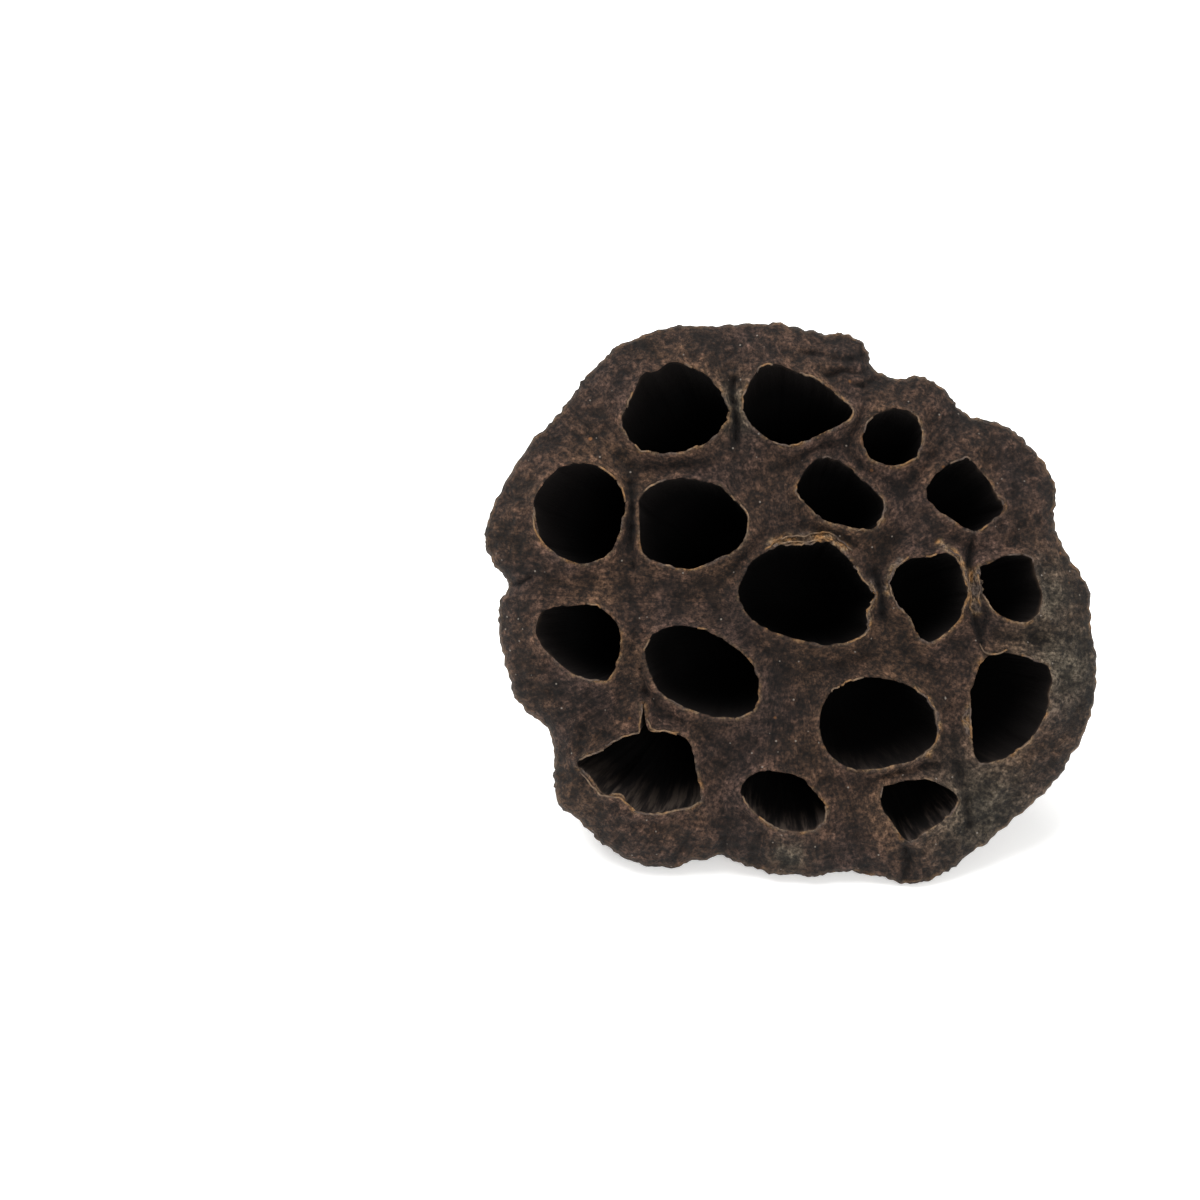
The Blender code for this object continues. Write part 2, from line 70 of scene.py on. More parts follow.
# The mouth of each socket on the seed face, anticlockwise.
MOUTHS = {
    "top_left": (
        (-18.2, 36.2), (-20.3, 34.8), (-22.5, 34.2), (-24.5, 30.3), (-25.6, 27.5), (-23.7, 23.7),
        (-19.5, 22.6), (-15.2, 23.3), (-11.4, 25.6), (-10.2, 29.0), (-11.7, 32.5), (-14.4, 34.9),
    ),
    "top_middle": (
        (-3.8, 35.7), (-6.3, 33.6), (-7.5, 30.4), (-6.9, 27.6), (-4.1, 24.8), (-0.9, 23.8),
        (3.0, 25.2), (7.1, 26.9), (8.6, 28.6), (6.4, 31.1), (3.8, 33.0), (0.1, 34.7),
    ),
    "top_right": (
        (13.8, 28.9), (11.2, 27.4), (10.3, 24.3), (11.6, 21.8), (14.8, 20.6), (17.9, 21.7),
        (19.0, 25.0), (18.5, 27.7), (16.3, 28.9),
    ),
    "upper_middle": (
        (5.4, 21.7), (3.1, 21.2), (1.4, 19.4), (0.4, 17.0), (2.7, 14.0), (5.6, 12.3), (10.5, 11.1),
        (12.3, 12.0), (13.3, 15.3), (10.1, 18.3), (7.8, 20.7),
    ),
    "upper_right": (
        (25.9, 21.7), (22.8, 20.7), (19.8, 17.2), (20.4, 15.2), (23.5, 12.6), (26.9, 11.0),
        (29.0, 12.1), (31.2, 14.4), (30.4, 15.8), (29.4, 18.0), (27.5, 20.3),
    ),
    "left": (
        (-32.6, 20.9), (-35.6, 19.9), (-38.6, 15.8), (-38.3, 11.5), (-36.2, 8.1), (-31.6, 6.0),
        (-27.4, 7.9), (-25.9, 12.0), (-25.3, 15.6), (-26.6, 18.6), (-29.6, 20.7),
    ),
    "inner_left": (
        (-15.5, 18.6), (-19.4, 18.4), (-22.6, 16.4), (-23.0, 13.5), (-22.5, 7.7), (-18.8, 5.8),
        (-15.0, 5.4), (-11.4, 6.8), (-7.8, 9.2), (-6.9, 12.9), (-9.3, 15.9), (-11.7, 17.8),
    ),
    "middle": (
        (4.8, 9.2), (1.7, 8.7), (-2.0, 8.5), (-5.6, 6.8), (-7.5, 4.2), (-8.2, 1.0), (-6.2, -2.2),
        (-2.6, -4.3), (2.0, -5.6), (6.8, -5.8), (10.6, -3.9), (10.8, -0.8), (11.8, 1.2), (10.4, 3.1),
        (7.1, 7.7),
    ),
    "inner_right": (
        (23.0, 7.6), (20.0, 7.0), (16.6, 6.4), (14.6, 3.6), (15.1, 0.6), (17.3, -1.9), (18.4, -4.4),
        (20.5, -5.5), (24.0, -3.0), (25.6, 1.2), (24.6, 5.4),
    ),
    "right": (
        (32.6, 7.3), (30.2, 6.6), (28.2, 5.2), (28.5, 2.3), (30.0, -1.0), (33.0, -2.6), (35.6, -2.2),
        (37.1, 0.6), (36.2, 4.4), (35.3, 7.0),
    ),
    "lower_left": (
        (-29.8, -0.2), (-33.6, -0.3), (-37.0, -0.9), (-38.6, -3.6), (-38.0, -5.6), (-34.7, -9.2),
        (-31.8, -10.8), (-28.0, -11.1), (-26.6, -9.0), (-26.0, -4.6), (-27.4, -1.8),
    ),
    "inner_lower": (
        (-17.8, -3.3), (-21.2, -4.7), (-22.2, -7.4), (-21.3, -10.6), (-19.4, -13.7), (-15.5, -15.7),
        (-10.2, -16.9), (-6.6, -16.1), (-5.4, -13.0), (-6.2, -9.4), (-10.4, -5.4), (-14.2, -3.8),
    ),
    "lower_middle": (
        (12.8, -11.1), (8.8, -11.4), (5.6, -13.1), (3.9, -16.2), (4.2, -20.4), (6.1, -23.2),
        (9.4, -24.7), (13.4, -24.3), (18.4, -23.0), (21.2, -20.2), (21.0, -16.8), (18.2, -12.8),
    ),
    "lower_right": (
        (31.9, -7.4), (28.6, -8.0), (26.8, -12.0), (26.3, -16.6), (26.8, -20.4), (27.3, -23.1),
        (29.2, -23.7), (34.0, -21.4), (36.8, -18.2), (38.2, -13.4), (38.2, -10.0), (36.0, -8.4),
    ),
    "bottom_left": (
        (-22.15, -17.6), (-22.3, -16.2), (-22.5, -15.0), (-22.65, -16.2), (-22.8, -17.6),
        (-22.85, -18.8), (-23.2, -19.4), (-25.5, -19.9), (-28.0, -21.5), (-31.8, -23.5),
        (-30.1, -26.1), (-28.4, -28.2), (-25.8, -28.5), (-23.4, -30.8), (-19.7, -31.1),
        (-14.4, -29.5), (-14.6, -25.0), (-15.7, -20.6), (-18.2, -19.2), (-21.4, -19.0),
        (-21.9, -18.6),
    ),
    "bottom_middle": (
        (-2.2, -25.0), (-5.8, -25.2), (-7.9, -27.6), (-6.6, -30.3), (-3.6, -32.9), (0.1, -33.9),
        (3.4, -33.2), (4.8, -30.4), (3.1, -28.2), (0.8, -26.0),
    ),
    "bottom_right": (
        (19.8, -26.2), (16.4, -26.6), (13.6, -27.3), (12.9, -29.4), (14.4, -32.2), (16.9, -35.4),
        (19.0, -34.5), (22.0, -32.4), (24.5, -29.9), (24.2, -28.4), (22.2, -27.1),
    ),
}

# The crack at the top of bottom_left is too narrow for a ragged edge, so its edge is left smooth.
CRACK = np.array((-22.5, -16.6))
CRACK_REACH = 2.4

# Cracks and creases that cross the seed face: (points along it, depth, half width).
CREASES = (
    (((-8.9, 33.5), (-9.3, 31.0), (-8.6, 28.0), (-8.7, 24.6)), 1.0, 0.5),
    (((-24.6, 17.9), (-24.1, 14.0), (-24.4, 10.0), (-23.9, 5.4)), 0.8, 0.7),
    (((12.2, 4.8), (13.1, 1.5), (13.1, -1.5)), 1.0, 0.7),
    (((26.9, 11.1), (26.4, 8.0), (26.0, 5.6)), 0.9, 0.5),
    (((26.4, 5.2), (26.6, 0.0), (27.3, -3.0), (28.5, -7.7)), 0.9, 0.5),
    (((28.0, 5.0), (28.0, 1.0), (28.8, -1.5), (28.4, -3.6)), 0.7, 0.4),
    (((16.8, -35.6), (17.2, -38.6), (16.5, -42.0)), 1.0, 0.8),
    (((-10.2, -35.0), (-10.7, -38.0)), 0.8, 0.9),
    (((-31.5, -18.5), (-32.0, -23.4), (-31.5, -27.0)), 0.7, 1.0),
    (((24.3, 29.6), (24.0, 26.6), (24.7, 24.0), (26.1, 21.3)), 0.5, 0.6),
    (((-43.2, 2.8), (-41.5, 2.9), (-39.4, 3.9)), 0.8, 0.45),
    (((-22.4, -14.6), (-22.2, -12.0), (-23.1, -9.6)), 0.6, 0.4),
    (((24.5, -24.0), (25.4, -28.5), (26.4, -33.0)), 0.8, 1.2),
    (((-4.6, -33.6), (-6.0, -36.4), (-6.2, -39.0)), 0.6, 0.9),
    (((10.5, 37.4), (7.8, 36.4), (4.6, 37.2), (1.0, 37.6)), 0.6, 0.6),
    (((12.2, 35.6), (9.8, 34.5), (7.4, 34.9), (4.8, 34.0)), 0.7, 0.5),
    (((12.6, 33.6), (10.6, 32.6), (8.8, 33.0)), 0.6, 0.5),
    (((33.0, 9.0), (33.8, 12.5), (33.0, 17.0)), 0.5, 1.1),
    (((-40.5, -12.0), (-36.0, -13.0), (-30.0, -13.6)), 0.3, 1.2),
)

# Places where a lip is torn up: (x, y, reach, lift).
TORN = (
    (5.6, 9.4, 2.4, 0.9), (9.6, 5.4, 1.8, 0.5), (11.6, 1.0, 1.4, 0.8), (14.7, 4.6, 1.8, 0.6),
    (24.9, 3.0, 2.6, 0.6), (27.8, 3.4, 2.6, 0.7), (27.4, -8.6, 1.8, 0.8), (26.4, -17.0, 1.2, 0.6),
    (-22.6, -15.6, 1.4, 0.6), (-31.6, -23.6, 1.6, 0.7), (-23.6, -30.8, 1.2, 0.5), (-14.4, -28.0, 1.4, 0.5),
    (-10.4, 28.6, 2.0, 0.4), (8.4, 28.8, 1.8, 0.6), (-7.2, 31.2, 1.8, 0.5), (19.0, 24.4, 1.6, 0.5),
    (0.8, 17.2, 1.4, 0.5), (12.8, 12.6, 1.6, 0.6), (31.0, 14.6, 1.4, 0.5), (21.0, -15.6, 2.0, 0.5),
    (16.8, -35.2, 1.6, 0.4), (28.2, 5.0, 1.2, 0.5), (18.3, -12.8, 1.4, 0.5), (4.4, -30.6, 1.2, 0.4),
)

# Papery strips of skin that stand up beside the torn lips: (points along it, height).
STRIPS = (
    (
        (
            (-4.4, 8.1), (-2.6, 9.4), (-1.2, 10.1), (1.2, 10.2), (3.4, 10.4), (5.2, 10.8), (7.0, 9.5),
            (8.8, 7.9),
        ),
        0.9,
    ),
    (((-2.4, 8.9), (-0.6, 9.3), (2.0, 9.2), (4.4, 9.8), (5.6, 9.4)), 0.6),
    (
        (
            (8.7, 5.7), (10.4, 3.5), (12.0, 2.4), (11.9, 0.3), (10.9, -0.6), (10.8, -3.9), (9.4, -5.1),
            (8.0, -5.9),
        ),
        0.7,
    ),
    (((17.1, 7.0), (15.5, 5.9), (14.3, 4.2), (14.2, 2.9), (14.8, 0.9), (16.6, -1.4)), 0.8),
    (((23.0, 8.1), (24.8, 7.1), (25.1, 4.8), (25.9, 2.7), (25.5, 0.4), (25.1, -1.4)), 0.8),
    (((26.3, 5.0), (26.1, 3.1), (26.5, 1.0), (26.3, -0.6), (27.1, -1.3)), 0.6),
    (((27.4, 4.5), (27.8, 2.6), (27.5, 0.7), (27.9, -0.4)), 0.5),
    (((27.9, -5.9), (28.2, -7.2), (29.2, -7.3), (30.2, -7.6), (31.9, -6.9)), 0.8),
    (((26.1, -15.4), (25.3, -17.0), (26.3, -17.9), (26.5, -20.0)), 0.6),
    (((17.9, -12.3), (19.2, -14.1), (20.9, -15.8), (21.4, -18.0), (21.0, -20.9), (19.0, -22.9)), 0.6),
    (((-31.9, -25.1), (-30.5, -26.7), (-28.7, -28.6), (-26.1, -28.8), (-24.6, -30.0)), 0.6),
    (((-23.9, -30.9), (-21.8, -31.4), (-19.6, -31.4), (-17.0, -30.5), (-14.2, -29.6)), 0.6),
    (((-28.0, -21.2), (-25.4, -19.7), (-23.1, -19.2), (-22.9, -17.0), (-22.6, -14.9)), 0.4),
    (((-21.9, -17.0), (-21.3, -18.7), (-19.9, -18.9), (-17.2, -19.2)), 0.4),
    (((-38.9, 14.2), (-38.8, 11.2), (-37.3, 8.9)), 0.5),
    (((6.9, 31.0), (8.9, 28.8), (7.4, 26.8)), 0.5),
    (((0.9, 24.6), (-0.8, 23.6), (-3.2, 24.2)), 0.5),
    (((12.3, 11.3), (13.3, 13.6), (13.4, 15.8)), 0.4),
    (((-8.0, 15.0), (-6.8, 12.9), (-7.6, 9.6)), 0.5),
)

# Skin rubbed down to its bare fibre: (points along it, half width).
BARE = (
    (((26.8, 4.4), (26.9, 1.8), (27.1, -0.8)), 0.7),
    (((-3.6, 8.8), (-0.8, 9.7), (3.4, 9.9), (5.6, 9.8), (7.4, 8.6)), 0.6),
    (((15.9, 6.4), (14.5, 4.9), (13.9, 3.2), (14.1, 1.6)), 0.5),
    (((21.8, 9.0), (24.0, 7.6), (24.9, 6.2), (25.4, 4.0)), 0.45),
    (((11.4, 3.2), (12.0, 1.2), (11.2, -0.6), (10.9, -3.2)), 0.4),
    (((20.2, -14.2), (21.3, -16.8), (21.6, -19.4), (20.2, -22.4)), 0.4),
    (((26.2, -15.4), (25.6, -17.4), (26.4, -19.4)), 0.4),
)

# Greenish-grey bloom on the skin: (x, y, reach).
BLOOM = ((41.0, -9.0, 8.0), (28.5, -31.0, 8.5), (38.0, 1.0, 5.0), (-8.5, 29.5, 3.5), (-0.5, -38.0, 2.5))

# The lips round the mouths: a narrow ridge on a broad swelling, with a valley between two that are near.
RIDGE_HEIGHT, RIDGE_REACH = 0.8, 0.9
SWELL_HEIGHT, SWELL_REACH = 1.0, 3.6
VALLEY_DEPTH, VALLEY_WIDTH, VALLEY_REACH = 0.55, 0.9, 2.6

# Each socket narrows with its depth: (share of its depth, share of the mouth's size).
SOCKET_TAPER = (
    (0.0, 1.0), (0.05, 1.05), (0.2, 1.08), (0.45, 1.04), (0.68, 0.93), (0.85, 0.72), (0.95, 0.46),
    (1.0, 0.3),
)
SOCKET_DEPTH_BASE = 5.0
SOCKET_DEPTH_PER_RADIUS = 1.9
SOCKET_ROUNDING = 0.7

# The flank from the rim to the stub: (share of the depth, share of the rim's reach past the stub).
FLANK_TAPER = (
    (0.0, 1.0), (0.06, 0.965), (0.15, 0.875), (0.3, 0.7), (0.5, 0.475), (0.7, 0.27), (0.84, 0.13),
    (0.93, 0.035), (1.0, 0.0),
)

# The folds that run down the flank between the outer sockets: (angle, depth, half width in degrees).
FOLDS = (
    (18, 3.4, 5.0), (46, 3.6, 5.5), (75, 3.2, 4.5), (105, 3.6, 5.5), (139, 3.4, 5.5), (173, 3.8, 5.0),
    (209, 3.6, 5.0), (249, 2.8, 4.5), (281, 2.6, 4.5), (318, 3.8, 6.0), (348, 3.2, 5.0), (32, 1.3, 3.5),
    (60, 1.2, 3.5), (90, 1.4, 4.0), (122, 1.5, 4.0), (157, 1.3, 4.0), (191, 1.4, 3.5), (229, 1.5, 4.0),
    (301, 1.2, 4.0), (333, 1.4, 4.0), (4, 1.2, 3.5),
)

# Short splinters on every lip: how many, their least and most steps along it, and their heights.
SPLINTERS_A_MOUTH = 4
SPLINTER_STEPS = (4, 12)
SPLINTER_HEIGHTS = (0.2, 0.45)

# How finely the dressed pod is divided.
RIM_STEPS = 11
MOUTH_STEPS = 10
FACE_SPACING = 0.362
SOCKET_RINGS = 10
FLANK_ROWS = 47
SCAR_SHARES = (0.06, 0.14, 0.24, 0.36, 0.5, 0.64, 0.76, 0.86)
STRIP_STEP = 0.3

# The studio, in metres and watts. Each lamp has its place, its width, its power and where it is aimed.
FLOOR_REACH = 2.5
FLOOR_GAP = 0.0001
FLOOR_GLOW = 0.35
SKY_STRENGTH = 0.55
LAMPS = (
    ("overhead", (-0.2, 0.22, 0.8), 0.9, 11.0, (0.0, 0.0, 0.02)),
    ("front", (0.3, -0.8, 0.45), 0.6, 4.5, (0.0, 0.0, 0.03)),
)

# The photograph: a pixel's size on the pod in millimetres, and where the face's centre is, in pixels.
PIXEL = 0.15
FACE_RIGHT_OF_MIDDLE = 193.0
FACE_BELOW_MIDDLE = 4.0
CAMERA_DISTANCE = 0.5
SENSOR_WIDTH = 36.0
LENS = 100.0

# The order of the pod's finishes.
SKIN, LINING, FLANK, PITH, TORN_SKIN = range(5)


def closed_curve(points, steps):
    """A smooth closed curve through the points, with this many steps between each pair."""
    here = np.array(points, float)
    after = np.roll(here, -1, axis=0)
    span = np.linalg.norm(after - here, axis=1)[:, None]
    slope = (after - np.roll(here, 1, axis=0)) / (span + np.roll(span, 1, axis=0))
    t = (np.arange(steps) / steps)[None, :, None]
    start, end = here[:, None, :], after[:, None, :]
    leave, arrive = (slope * span)[:, None, :], (np.roll(slope, -1, axis=0) * span)[:, None, :]
    curve = (
        (2 * t**3 - 3 * t**2 + 1) * start
        + (t**3 - 2 * t**2 + t) * leave
        + (3 * t**2 - 2 * t**3) * end
        + (t**3 - t**2) * arrive
    )
    return curve.reshape(-1, 2)


def distance_to(points, curve, closed=True):
    """How far each point is from a curve."""
    end = np.roll(curve, -1, axis=0) if closed else curve[1:]
    nearest = np.full(len(points), np.inf)
    for a, b in zip(curve, end):
        d = b - a
        share = np.clip(((points - a) @ d) / max(d @ d, 1e-9), 0.0, 1.0)
        gap = points - a - share[:, None] * d
        nearest = np.minimum(nearest, np.einsum("ij,ij->i", gap, gap))
    return np.sqrt(nearest)


def inside(points, curve):
    """Whether each point lies inside a closed curve."""
    x, y = points[:, 0], points[:, 1]
    crossings = np.zeros(len(points), int)
    for a, b in zip(curve, np.roll(curve, -1, axis=0)):
        if a[1] == b[1]:
            continue
        level = (a[1] > y) != (b[1] > y)
        crossings += level & (x < a[0] + (y - a[1]) * (b[0] - a[0]) / (b[1] - a[1]))
    return crossings % 2 == 1


def by_angle(table, degrees):
    """The value at this angle, from a table that goes all the way round."""
    return float(np.interp(degrees % 360, [a for a, _ in table], [v for _, v in table], period=360))


def by_share(table, share):
    """The value at this share, from a table that runs from 0 to 1."""
    return float(np.interp(share, [s for s, _ in table], [v for _, v in table]))


def lumps(x, y, z, size, seed=0.0):
    """Smooth natural unevenness between about -1 and 1, with lumps of this size in millimetres."""
    return 1.6 * noise.noise(Vector((x / size + seed, y / size - seed, z / size + 2.0 * seed)))


def ragged(curve, coarse, fine, deepest, seed):
    """The outline with an irregular edge of slow waves and small nicks, no deeper than deepest."""
    tangent = np.roll(curve, -1, axis=0) - np.roll(curve, 1, axis=0)
    tangent /= np.linalg.norm(tangent, axis=1)[:, None]
    outward = np.column_stack((tangent[:, 1], -tangent[:, 0]))
    push = [
        coarse * lumps(x, y, seed, 2.4)
        + fine * (lumps(x, y, seed, 0.9, 5.0) + 0.7 * abs(lumps(x, y, seed, 0.6, 2.0)))
        for x, y in curve
    ]
    jags = [max(0.0, 0.7 * lumps(x, y, seed, 0.8, 8.0)) for x, y in curve]
    push = np.array(push) * (1.0 + torn(curve)) + np.array(jags) * torn(curve)
    push *= 1.0 - np.exp(-((np.linalg.norm(curve - CRACK, axis=1) / CRACK_REACH) ** 2))
    return curve + outward * np.maximum(push, -deepest)[:, None]


def torn(points):
    """How badly the lip is torn at each point, 0 where it is whole."""
    lift = np.zeros(len(points))
    for x, y, reach, height in TORN:
        lift += height * np.exp(-(np.hypot(points[:, 0] - x, points[:, 1] - y) / reach) ** 2)
    return lift


def rim_drop(x, y):
    """How far the rim lies below the middle of the face, with a slow natural wave."""
    wave = 0.5 * noise.noise(Vector((0.09 * x, 0.09 * y, 3.7)))
    return by_angle(RIM_DROP, math.degrees(math.atan2(y, x))) + wave


def face_relief(points, rim, mouths):
    """The height of the seed face at each point, and what its finish needs: how bare of skin it is, with a
    painted highlight on the sides of the lips that face the light, how far down in a crease, how far up on a
    crest, and how much bloom it has."""
    to_mouth = np.full(len(points), np.inf)
    to_second = to_mouth.copy()
    inwards = np.zeros((len(points), 2))
    for mouth in mouths:
        away = distance_to(points, mouth)
        to_second = np.minimum(to_second, np.maximum(to_mouth, away))
        inwards[away < to_mouth] = (mouth.mean(axis=0) - points)[away < to_mouth]
        to_mouth = np.minimum(to_mouth, away)
    to_rim = distance_to(points, rim)
    heights = DOME * (1.0 - (np.linalg.norm(points, axis=1) / FACE_REACH) ** 2)
    heights += SWELL_HEIGHT * np.exp(-((to_mouth / SWELL_REACH) ** 2))
    ridge = np.exp(-((to_mouth / RIDGE_REACH) ** 2))
    between = np.exp(-(((to_second - to_mouth) / VALLEY_WIDTH) ** 2))
    between *= np.exp(-((to_mouth / VALLEY_REACH) ** 2))
    crooked = np.array([
        0.3 * lumps(x, y, 0.0, 1.5, 6.0) + 0.2 * lumps(x, y, 0.0, 0.7, 2.0)
        for x, y in points
    ])
    sunk = np.zeros(len(points))
    for line, depth, width in CREASES:
        away = np.maximum(distance_to(points, np.array(line), closed=False) + 0.6 * width * crooked, 0.0)
        sunk = np.maximum(sunk, depth * np.exp(-((away / (0.75 * width)) ** 1.5)))
    lift = torn(points)
    crest = np.zeros(len(points))
    for k, (x, y) in enumerate(points):
        heights[k] += 0.9 * noise.noise(Vector((0.13 * x, 0.13 * y, 8.1)))
        ridge_height = RIDGE_HEIGHT * (1.0 + 0.35 * lumps(x, y, 0.0, 3.0)) + 0.16 * lumps(x, y, 4.0, 0.8)
        heights[k] += ridge[k] * ridge_height
        heights[k] += ridge[k] * lift[k] * (0.7 + 0.5 * lumps(x, y, 1.0, 1.1))
        wrinkle = 0.34 * lumps(x, y, 0.0, 3.8, 2.0) - 0.3 * abs(lumps(x, y, 0.0, 2.1, 7.0))
        wrinkle += 0.15 * lumps(x, y, 0.0, 0.95)
        around = math.atan2(y, x) * MEAN_RADIUS
        pleat = abs(lumps(around, 0.25 * to_rim[k], 0.0, 1.7, 3.0))
        wrinkle -= 0.45 * pleat * math.exp(-((to_rim[k] / 4.5) ** 2))
        wrinkle -= VALLEY_DEPTH * between[k] * (1.0 + 0.5 * lumps(x, y, 0.0, 2.6, 5.0))
        heights[k] += wrinkle * (1.0 - 0.5 * ridge[k]) - 1.2 * sunk[k] * (1.0 + 0.3 * lumps(x, y, 0.0, 1.2))
        # crest is how high the skin stands here, for painted highlight on the crests and painted shade in the
        # wrinkles
        crest[k] = 0.4 + 1.0 * (wrinkle + 0.1) + 0.2 * ridge[k] - 0.5 * sunk[k]
        crest[k] += 0.4 * math.exp(-((to_mouth[k] / 1.6) ** 2)) * (1.0 + 0.6 * lumps(x, y, 0.0, 4.5, 1.0))
    drop = np.array([rim_drop(x, y) for x, y in points])
    inward = np.clip(to_rim / SHOULDER, 0.0, 1.0)
    rise = np.sqrt(1.0 - (1.0 - inward) ** 2)
    # the lips are paler below and to the right of each mouth, a painted highlight where they face the light,
    # and worn paler where they are torn
    worn = 0.5 + 0.5 * (inwards @ (-0.4, 0.92)) / np.maximum(np.linalg.norm(inwards, axis=1), 1e-6)
    worn = np.clip(worn + lift, 0.0, 1.0) * np.exp(-((to_mouth / (0.3 + 0.35 * lift)) ** 2))
    rubbed = 0.45 + 0.45 * np.clip(points[:, 0] / 40.0, 0.0, 1.0)
    lips = np.maximum(worn, rubbed * np.exp(-((to_rim / 0.4) ** 2)))
    for line, width in BARE:
        away = np.maximum(distance_to(points, np.array(line), closed=False) + 0.8 * width * crooked, 0.0)
        lips = np.maximum(lips, 2.0 * np.exp(-((away / width) ** 2)))
    bloom = np.zeros(len(points))
    for x, y, reach in BLOOM:
        away = np.hypot(points[:, 0] - x, points[:, 1] - y) + 3.0 * crooked
        bloom = np.maximum(bloom, np.exp(-((away / reach) ** 2)))
    heights = heights * rise - drop * (1.0 - rise)
    return heights, lips, np.clip(sunk, 0.0, 1.0), np.clip(crest, 0.0, 1.0), bloom


class Marks:
    """What each vertex of the pod carries for its finish."""

    def __init__(self, bm):
        self.start = bm.verts.layers.float_vector.new("start of its row")
        self.grain = bm.verts.layers.float_vector.new("grain")
        self.lip = bm.verts.layers.float.new("lip")
        self.sunk = bm.verts.layers.float.new("sunk")
        self.crest = bm.verts.layers.float.new("crest")
        self.bloom = bm.verts.layers.float.new("bloom")
        self.depth = bm.verts.layers.float.new("depth")


def open_rings(bm):
    """The open edges of a sheet, one list for each ring of them."""
    waiting = {edge for edge in bm.edges if edge.is_boundary}
    rings = []
    while waiting:
        ring, ends = [], [waiting.pop()]
        while ends:
            edge = ends.pop()
            ring.append(edge)
            nearby = {other for vert in edge.verts for other in vert.link_edges if other in waiting}
            waiting -= nearby
            ends += nearby
        rings.append(ring)
    return rings


def ring_centre(ring):
    ends = [vert.co.xy for edge in ring for vert in edge.verts]
    return sum(ends, Vector((0.0, 0.0))) / len(ends)


def build_face(bm, marks, rim, mouths):
    """The seed face as one fine sheet. Returns the edges of its rim and of each mouth."""
    random = np.random.default_rng(17)
    count = int((FACE_REACH + 1.0) / FACE_SPACING) + 1
    lattice = np.array([
        ((i + 0.5 * (j % 2)) * FACE_SPACING, j * FACE_SPACING * math.sqrt(0.75))
        for j in range(-int(count * 1.16), int(count * 1.16) + 1)
        for i in range(-count, count + 1)
    ])
    lattice += random.uniform(-0.22, 0.22, lattice.shape) * FACE_SPACING
    lattice = lattice[inside(lattice, rim)]
    lattice = lattice[distance_to(lattice, rim) > 0.7 * FACE_SPACING]
    for mouth in mouths:
        low, high = mouth.min(axis=0) - 1.0, mouth.max(axis=0) + 1.0
        near = np.all((lattice > low) & (lattice < high), axis=1)
        hit = np.zeros(len(lattice), bool)
        hit[near] = inside(lattice[near], mouth) | (distance_to(lattice[near], mouth) < 0.7 * FACE_SPACING)
        lattice = lattice[~hit]
    loops = [rim, *mouths]
    points = np.vstack((*loops, lattice))
    ends = np.cumsum([len(loop) for loop in loops])
    edges = []
    for loop, end in zip(loops, ends):
        first = end - len(loop)
        edges += [(first + k, first + (k + 1) % len(loop)) for k in range(len(loop))]
    flat, _, faces, _, _, _ = delaunay_2d_cdt([Vector(p) for p in points], edges, [], 1, 1e-5)
    middles = np.array([(flat[a] + flat[b] + flat[c]) / 3 for a, b, c in faces])
    open_here = np.zeros(len(faces), bool)
    for mouth in mouths:
        open_here |= inside(middles, mouth)
    verts = []
    for (x, y), z, lip, low, high, green in zip(flat, *face_relief(np.array(flat), rim, mouths)):
        vert = bm.verts.new((x, y, z))
        vert[marks.start] = vert.co
        vert[marks.grain] = vert.co * MILLIMETRE
        vert[marks.lip] = lip
        vert[marks.sunk] = low
        vert[marks.crest] = high
        vert[marks.bloom] = green
        verts.append(vert)
    for corners, is_open in zip(faces, open_here):
        if not is_open:
            bm.faces.new([verts[c] for c in corners]).material_index = SKIN
    rings = open_rings(bm)
    rim_ring = max(rings, key=len)
    rings.remove(rim_ring)
    sockets = []
    for points in MOUTHS.values():
        centre = Vector(np.mean(points, axis=0))
        sockets.append((points, min(rings, key=lambda ring: (ring_centre(ring) - centre).length)))
    return rim_ring, sockets


def foot_on(surface, x, y):
    """The point of the face right below, or the nearest one where the face is open there."""
    below = surface.ray_cast(Vector((x, y, 20.0)), Vector((0.0, 0.0, -1.0)))[0]
    return surface.find_nearest(Vector((x, y, 3.0)))[0] if below is None else below


